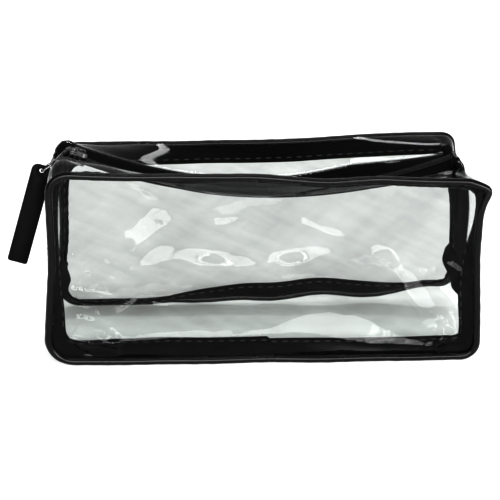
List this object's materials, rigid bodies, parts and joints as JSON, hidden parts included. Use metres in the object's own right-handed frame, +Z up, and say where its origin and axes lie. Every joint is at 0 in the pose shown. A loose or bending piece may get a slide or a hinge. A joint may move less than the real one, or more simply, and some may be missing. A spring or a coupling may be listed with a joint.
{
  "type": "makeup bag",
  "caption": "Box-shaped clear vinyl makeup bag with black piped seams, a sagging zipper across the top, a metal slider and a strap pull.",
  "frame": {"origin": "centre of the base, on the surface that the bag stands on", "axes": "+X along the bag, away from the slider's closed end; +Y from the front to the rear; +Z up"},
  "size_m": [0.2533, 0.084, 0.1096],
  "materials": {
    "clear_vinyl": "glossy clear vinyl, lightly smoked",
    "piping_vinyl": "glossy black vinyl",
    "filler_cord": "matte cord inside the piping",
    "binding": "black woven binding tape",
    "zipper_tape": "black herringbone tape",
    "zipper_coil": "black nylon coil",
    "metal": "dark nickel plating",
    "pull_tab": "matte black"
  },
  "bodies": {
    "bag": {"front_panel": "clear_vinyl", "rear_panel": "clear_vinyl", "bottom_gusset": "clear_vinyl", "front_strip_ends": "clear_vinyl", "rear_strip_ends": "clear_vinyl", "front_piping": "piping_vinyl", "rear_piping": "piping_vinyl", "front_piping_cord": "filler_cord", "rear_piping_cord": "filler_cord", "front_binding": "binding", "rear_binding": "binding", "left_cross_binding": "binding", "right_cross_binding": "binding", "front_tape_ends": "zipper_tape", "rear_tape_ends": "zipper_tape", "front_coil_ends": "zipper_coil", "rear_coil_ends": "zipper_coil", "bottom_stop": "metal"},
    "front_lip": {"front_lip_strip": "clear_vinyl", "front_lip_tape": "zipper_tape", "front_lip_coil": "zipper_coil"},
    "rear_lip": {"rear_lip_strip": "clear_vinyl", "rear_lip_tape": "zipper_tape", "rear_lip_coil": "zipper_coil"},
    "slider": {"slider_body": "metal"},
    "pull_bail": {"bail": "metal"},
    "pull_link": {"pull_ring": "metal"},
    "pull_strap": {"pull_tab": "pull_tab"}
  },
  "joints": [
    {"name": "front_lip_swing", "type": "hinge", "parent": "bag", "child": "front_lip", "pos_m": [0, -0.04, 0.102], "axis": [1, 0, 0], "range_deg": [0, 110]},
    {"name": "rear_lip_swing", "type": "hinge", "parent": "bag", "child": "rear_lip", "pos_m": [0, 0.04, 0.102], "axis": [-1, 0, 0], "range_deg": [0, 110]},
    {"name": "slider_travel", "type": "hinge", "parent": "bag", "child": "slider", "pos_m": [0.004, 0, 0.36146], "axis": [0, -1, 0], "range_deg": [0, 41.83], "deforming": ["bail", "pull_ring", "pull_tab"]},
    {"name": "bail_swing", "type": "hinge", "parent": "slider", "child": "pull_bail", "pos_m": [-0.09825, 0, 0.10746], "axis": [0, 1, 0], "range_deg": [0, 178]},
    {"name": "ring_swing", "type": "hinge", "parent": "pull_bail", "child": "pull_link", "pos_m": [-0.1106, 0, 0.1014], "axis": [0, 1, 0], "range_deg": [-5, 60]},
    {"name": "tab_swing", "type": "hinge", "parent": "pull_link", "child": "pull_strap", "pos_m": [-0.1174, 0, 0.0966], "axis": [0, 1, 0], "range_deg": [-8, 80]}
  ],
  "couplings": [
    {"joint": "bail_swing", "follows": "slider_travel", "ratio": 4.25}
  ]
}
